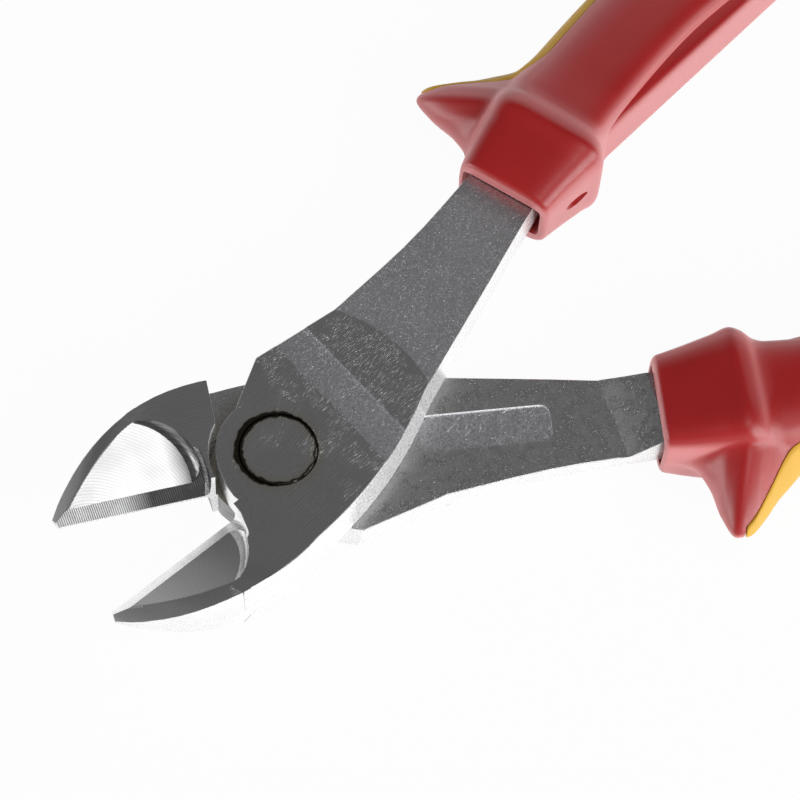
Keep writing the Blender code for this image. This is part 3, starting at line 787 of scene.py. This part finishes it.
def pad_rings(grow, proud, roundness):
    """The soft pad's sections, with edges drawn in by roundness; grow makes them its recess."""
    rings = []
    for k in range(PAD_RINGS + 1):
        t = -math.cos(math.pi * k / PAD_RINGS)
        behind = PAD_LENGTH * (t + 1) / 2
        place = PAD_START + behind + grow * t
        form = follow(GRIP_FORM, place)
        tongue = math.sin(math.pi / 2 * min(1.0, behind / PAD_TONGUE))
        heel = math.sqrt(1 - max(0.0, t) ** PAD_END_SHARPNESS)
        border = PAD_END_RISE + (PAD_RISE - PAD_END_RISE) * tongue * heel + grow / form[2]
        outside, inside = [], []
        for share in np.linspace(-1.0, 1.0, PAD_ACROSS + 1):
            edge = max(abs(share) ** PAD_SIDE_SHARPNESS, abs(t) ** PAD_TIP_SHARPNESS)
            outside.append(outer_side(share * border, form, proud - roundness * edge))
            inside.append(outer_side(share * border, form, -PAD_DEPTH - 2 * grow))
        rings.append([on_handle(MOUTH_REACH + place, *point) for point in outside + inside[::-1]])
    return rings


SLOT_REACH = 0.0085
SLOT_HALF_LENGTH = 0.0032
SLOT_HALF_WIDTH = 0.0014
SLOT_DEPTH = 0.0012
SLOT_SHARPNESS = 1.8
# Height above the surface, from the slot's floor to clear of the sleeve, and share of its full size
SLOT_FORM = ((-SLOT_DEPTH, 0.7), (-SLOT_DEPTH * 0.5, 0.92), (SLOT_HALF_LENGTH, 1.0))


def slot_rings():
    """The short slot in the inner side of the flare, narrowing with its depth."""
    level = follow(GRIP_FORM, SLOT_REACH)[0]
    rings = []
    for lift, size in SLOT_FORM:
        ring = []
        for share in halfway:
            c, s = math.cos(2 * math.pi * share), math.sin(2 * math.pi * share)
            run = math.copysign(abs(c) ** (2 / SLOT_SHARPNESS), c) * SLOT_HALF_LENGTH * size
            rise = math.copysign(abs(s) ** (2 / SLOT_SHARPNESS), s) * SLOT_HALF_WIDTH * size
            ring.append(on_handle(MOUTH_REACH + SLOT_REACH + run, level + lift, rise))
        rings.append(ring)
    return rings


def plastic_finish(name, colour, dark, roughness, coat, sheen):
    """Moulded plastic: a fine spark-eroded grain, handling marks, and most gloss on the sides."""
    material, add, join = new_finish(name, roughness, metallic=0.0)
    strongest = max(colour[:3])
    tint = [0.45 + 0.55 * channel / strongest for channel in colour[:3]]
    constants = {
        "IOR": 1.5, "Coat IOR": 1.7, "Coat Roughness": 0.30,
        "Sheen Roughness": 0.9, "Sheen Tint": (*tint, 1.0),
    }
    shader = material.node_tree.nodes["Principled BSDF"]
    for socket, value in constants.items():
        shader.inputs[socket].default_value = value
    turned = add("LayerWeight", {}, Blend=0.5).node.outputs["Facing"]
    join(ramp(add, turned, (0.12, coat * 0.25), (0.45, coat)), "Coat Weight")
    join(ramp(add, turned, (0.14, 0.0), (0.36, sheen)), "Sheen Weight")
    grain = noise(add, scale=2600.0)
    cloud = noise(add, scale=90.0, detail=5.0)
    join(ramp(add, cloud, (0.3, dark), (0.7, colour)), "Base Color")
    join(ramp(add, grain, (0.3, roughness + 0.08), (0.7, roughness - 0.06)), "Roughness")
    scratch = streaks(add, turn=0.6, length=0.003, width=0.0002)
    marks = ramp(add, scratch, (0.70, 0.0), (0.78, 1.0))
    join(relief(add, marks, depth=0.00002, under=relief(add, grain, depth=0.000012)), "Normal")
    return material


LIP_ROUND = 0.0009
LIP_ROOM = 0.0010
LIP_LENGTH = 0.006
LIP_STEPS = 6
LIP_CLEAR = LIP_ROUND * 1.6
FLARE_END = 0.022
FLARE_STEP = 0.0006
HEEL_START = 0.115
BODY_STEP = 0.0024
HEEL_LENGTH = 0.022
HEEL_LAST = 0.00004
HEEL_RINGS = 30
bore_end = TANG_LENGTH + TANG_END_GAP + CORE_END_WALL + BORE_GAP
core_room = 2 * BORE_GAP + CORE_WALL
core_start = CORE_SET_IN - BORE_GAP
places = np.concatenate((
    np.arange(LIP_CLEAR, FLARE_END, FLARE_STEP),
    np.arange(FLARE_END, HEEL_START, BODY_STEP),
    GRIP_LENGTH - np.geomspace(HEEL_LENGTH, HEEL_LAST, HEEL_RINGS),
))
red_plastic = plastic_finish(
    "red_moulding", colour=(0.40, 0.005, 0.006, 1), dark=(0.36, 0.004, 0.005, 1),
    roughness=0.42, coat=1.0, sheen=1.0)
yellow_plastic = plastic_finish(
    "yellow_soft", colour=(0.80, 0.46, 0.04, 1), dark=(0.74, 0.41, 0.03, 1),
    roughness=0.55, coat=0.1, sheen=0.3)
for body, half_frame in (("back", back_frame), ("front", front_frame)):
    rings = [
        bore(bore_end, core_room, core_room),
        bore(core_start, core_room, core_room),
        bore(core_start, BORE_GAP, BORE_GAP),
        bore(LIP_LENGTH, BORE_GAP, BORE_GAP),
        bore(0.0, LIP_ROOM, BORE_GAP),
    ]
    for k in range(LIP_STEPS + 1):
        lift = math.pi / 2 * k / LIP_STEPS
        set_back, draw_in = LIP_ROUND * (1 - math.cos(lift)), LIP_ROUND * (1 - math.sin(lift))
        rings.append(section(set_back, draw_in))
    rings += [section(place) for place in places]
    sleeve = add_loft(body + "_grip_moulding", rings, half_frame, red_plastic)
    recess_rings = pad_rings(SEAM, PAD_DEPTH, 0.0)
    recess = add_loft(body + "_pad_recess", recess_rings, half_frame, red_plastic)
    slot = add_loft(body + "_flare_slot", slot_rings(), half_frame, red_plastic)
    carve(sleeve, recess, slot)
    soft_rings = pad_rings(0.0, PAD_PROUD, PAD_ROUND)
    pad = add_loft(body + "_soft_pad", soft_rings, half_frame, yellow_plastic)
    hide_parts(body + "_grip_sleeve")
    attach(sleeve, body)
    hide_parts(body + "_grip_pad")
    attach(pad, body)


# Cores. Hard insulating tubes of pale plastic that the tangs are pressed into, inside the sleeves.
# They keep the shape that the frame gives them, and only take a finish.

core_plastic = plastic_finish(
    "hard_core", colour=(0.55, 0.50, 0.42, 1), dark=(0.48, 0.43, 0.35, 1),
    roughness=0.5, coat=0.1, sheen=0.1)
for body in ("back", "front"):
    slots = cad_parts[body + "_grip_core"].data.materials
    slots.clear()
    slots.append(core_plastic)


# Studio. A white table that keeps the tool's shadow, with a large soft box low beside the back
# handle, a smaller one beyond the jaws and a small one overhead. The walls are pale near the table
# and dark higher up, with grey cards on the far side. A long lens looks down from above the jaws.

FLOOR_HEIGHT = cad_box[0][2]
TABLE_HALF = 3.0
TABLE_GLOW = 0.96
table_corners = ((-1, -1), (1, -1), (1, 1), (-1, 1))
corners = [(x * TABLE_HALF, y * TABLE_HALF, FLOOR_HEIGHT) for x, y in table_corners]
floor_mesh = bpy.data.meshes.new("table_top")
floor_mesh.from_pydata(corners, [], [(0, 1, 2, 3)])
floor_material, add, join = new_finish("white_table", roughness=0.9, metallic=0.0)
join(ramp(add, noise(add, scale=4.0), (0.3, 0.88), (0.7, 0.90)), "Base Color")
seen = add("LightPath", {}).node.outputs
share = reckon(add, "ADD", seen["Is Camera Ray"], seen["Is Glossy Ray"])
share = reckon(add, "ADD", share, seen["Is Transmission Ray"])
share = reckon(add, "MULTIPLY", share, TABLE_GLOW)
glow = add("Emission", {}, Strength=1.0)
floor_nodes = floor_material.node_tree.nodes
lit = add("MixShader", {}, _0=share, _1=floor_nodes["Principled BSDF"].outputs[0], _2=glow)
floor_material.node_tree.links.new(lit, floor_nodes["Material Output"].inputs["Surface"])
floor_mesh.materials.append(floor_material)
floor = bpy.data.objects.new("table_top", floor_mesh)
bpy.context.collection.objects.link(floor)

CAMERA_TILT = math.radians(-27.5)
CAMERA_ROLL = math.radians(2.0)
CAMERA_TURN = math.radians(211.85)
CAMERA_SHIFT = (-0.02228, -0.00910, -0.55046)
camera_data = bpy.data.cameras.new("long_lens")
camera_data.lens = 135.0
camera_data.sensor_width = 36.0
camera_data.clip_start = 0.01
camera = bpy.data.objects.new("long_lens", camera_data)
to_camera = (
    Matrix.Rotation(CAMERA_TILT, 4, "X") @ Matrix.Rotation(CAMERA_ROLL, 4, "Y")
    @ Matrix.Rotation(CAMERA_TURN, 4, "Z"))
camera.matrix_world = (Matrix.Translation(CAMERA_SHIFT) @ to_camera).inverted()
bpy.context.collection.objects.link(camera)
bpy.context.scene.camera = camera


def soft_box(name, towards, distance, size, power):
    """A rectangular lamp that faces the tool from one direction."""
    lamp = bpy.data.lights.new(name, "AREA")
    lamp.shape = "RECTANGLE"
    lamp.size, lamp.size_y = size
    lamp.energy = power
    holder = bpy.data.objects.new(name, lamp)
    direction = Vector(towards).normalized()
    holder.location = direction * distance
    holder.rotation_euler = direction.to_track_quat("Z", "Y").to_euler()
    bpy.context.collection.objects.link(holder)


soft_box("key_soft_box", (-0.36, 0.82, 0.43), distance=1.2, size=(0.90, 0.80), power=12.0)
soft_box("side_soft_box", (0.91, -0.33, 0.24), distance=1.2, size=(0.7, 0.5), power=4.0)
soft_box("top_soft_box", (-0.08, 0.28, 0.957), distance=1.0, size=(0.34, 0.30), power=1.0)

FAR_SIDE = (-0.80, -0.60, 0.0)
# Greys up the walls, round them from the near to the far side, and up to the ceiling
WALL_GREYS = ((0.0, 0.85), (0.33, 0.85), (0.50, 0.22), (0.70, 0.03), (1.0, 0.0))
CARD_GREYS = ((0.30, 1.0), (0.42, 0.45), (0.54, 0.25), (0.72, 0.40), (0.85, 0.40), (0.92, 0.08))
CEILING_GREYS = (
    (0.0, 0.05), (0.60, 0.05), (0.76, 0.18), (0.84, 0.18), (0.92, 0.105), (1.0, 0.10))
world = bpy.data.worlds.new("studio_walls")
bpy.context.scene.world = world
world.use_nodes = True
add = node_adder(world.node_tree)
heading = add("TexCoord", {}).node.outputs["Generated"]
height = add("SeparateXYZ", {}, Vector=heading).node.outputs["Z"]
away = reckon_place(add, "DOT_PRODUCT", heading, FAR_SIDE).node.outputs["Value"]
round_walls = between(add, away, low=-1.0, high=1.0)
walls = reckon(
    add, "MULTIPLY", ramp(add, height, *WALL_GREYS), ramp(add, round_walls, *CARD_GREYS))
room = reckon(add, "ADD", walls, ramp(add, height, *CEILING_GREYS))
world.node_tree.links.new(room, world.node_tree.nodes["Background"].inputs["Color"])

bpy.context.scene.view_settings.view_transform = "Standard"
